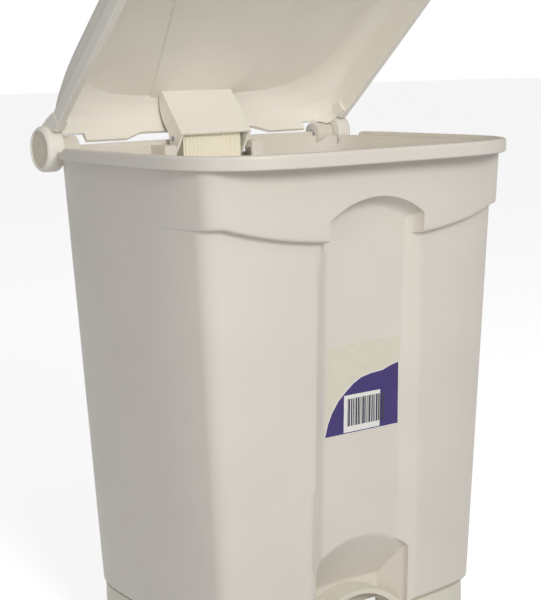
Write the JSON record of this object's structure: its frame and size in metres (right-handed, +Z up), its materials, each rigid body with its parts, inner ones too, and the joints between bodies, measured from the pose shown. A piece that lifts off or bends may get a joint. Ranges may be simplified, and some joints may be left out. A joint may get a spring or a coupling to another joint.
{
  "type": "pedal bin",
  "caption": "Tall tapered plastic pedal bin with arched front recess, plinth, and a domed lid on round rear hinges, lifted by a pedal, lever and push rod.",
  "frame": {"origin": "centre of the bin's overall footprint at rest, on the floor", "axes": "+X to the bin's right seen from behind it, -Y is the front with the pedal, +Z up"},
  "size_m": [0.404, 0.3764, 0.7867],
  "materials": {
    "tub_plastic": "fine moulded grain, off-white polypropylene",
    "plinth_plastic": "fine moulded grain, off-white",
    "lid_plastic": "satin moulded, off-white",
    "pedal_plastic": "satin moulded, off-white",
    "clip_plastic": "satin, slightly yellow",
    "bush_plastic": "satin nylon",
    "steel": "zinc plated",
    "rubber": "matte",
    "label_film": "printed film"
  },
  "bodies": {
    "bin": {"bin_body": "tub_plastic", "rear_cover": "tub_plastic", "cover_screws": "steel", "base": "plinth_plastic", "base_screws": "steel", "rubber_feet": "rubber", "left_hinge_boss": "tub_plastic", "right_hinge_boss": "tub_plastic", "left_hinge_pin": "steel", "right_hinge_pin": "steel", "rod_guides": "clip_plastic", "axle_bushes": "bush_plastic", "front_label": "label_film"},
    "lid": {"lid_shell": "lid_plastic", "left_lid_hub": "lid_plastic", "right_lid_hub": "lid_plastic", "left_hub_cap": "lid_plastic", "right_hub_cap": "lid_plastic", "lid_hood": "lid_plastic", "lift_pin": "steel"},
    "rod": {"lifter": "clip_plastic", "push_rod": "steel", "rod_foot": "steel"},
    "lever": {"pedal": "pedal_plastic", "pedal_screws": "steel", "pedal_lever": "steel", "lever_axle": "steel", "axle_clips": "steel", "clevis_pin": "steel", "clevis_clips": "steel"}
  },
  "joints": [
    {"name": "lid_hinge", "type": "hinge", "parent": "bin", "child": "lid", "pos_m": [0, 0.164, 0.5505], "axis": [-1, 0, 0], "range_deg": [-40.6, 34.4]},
    {"name": "rod_slide", "type": "slide", "parent": "bin", "child": "rod", "axis": [0, 0, 1], "range_m": [-0.01159, 0.00982]},
    {"name": "pedal_pivot", "type": "hinge", "parent": "bin", "child": "lever", "pos_m": [0, 0.014, 0.044], "axis": [1, 0, 0], "range_deg": [-5.04, 4.27]}
  ],
  "couplings": [
    {"joint": "rod_slide", "follows": "lid_hinge", "m_per_rad": 0.016336},
    {"joint": "pedal_pivot", "follows": "lid_hinge", "ratio": 0.12376}
  ]
}
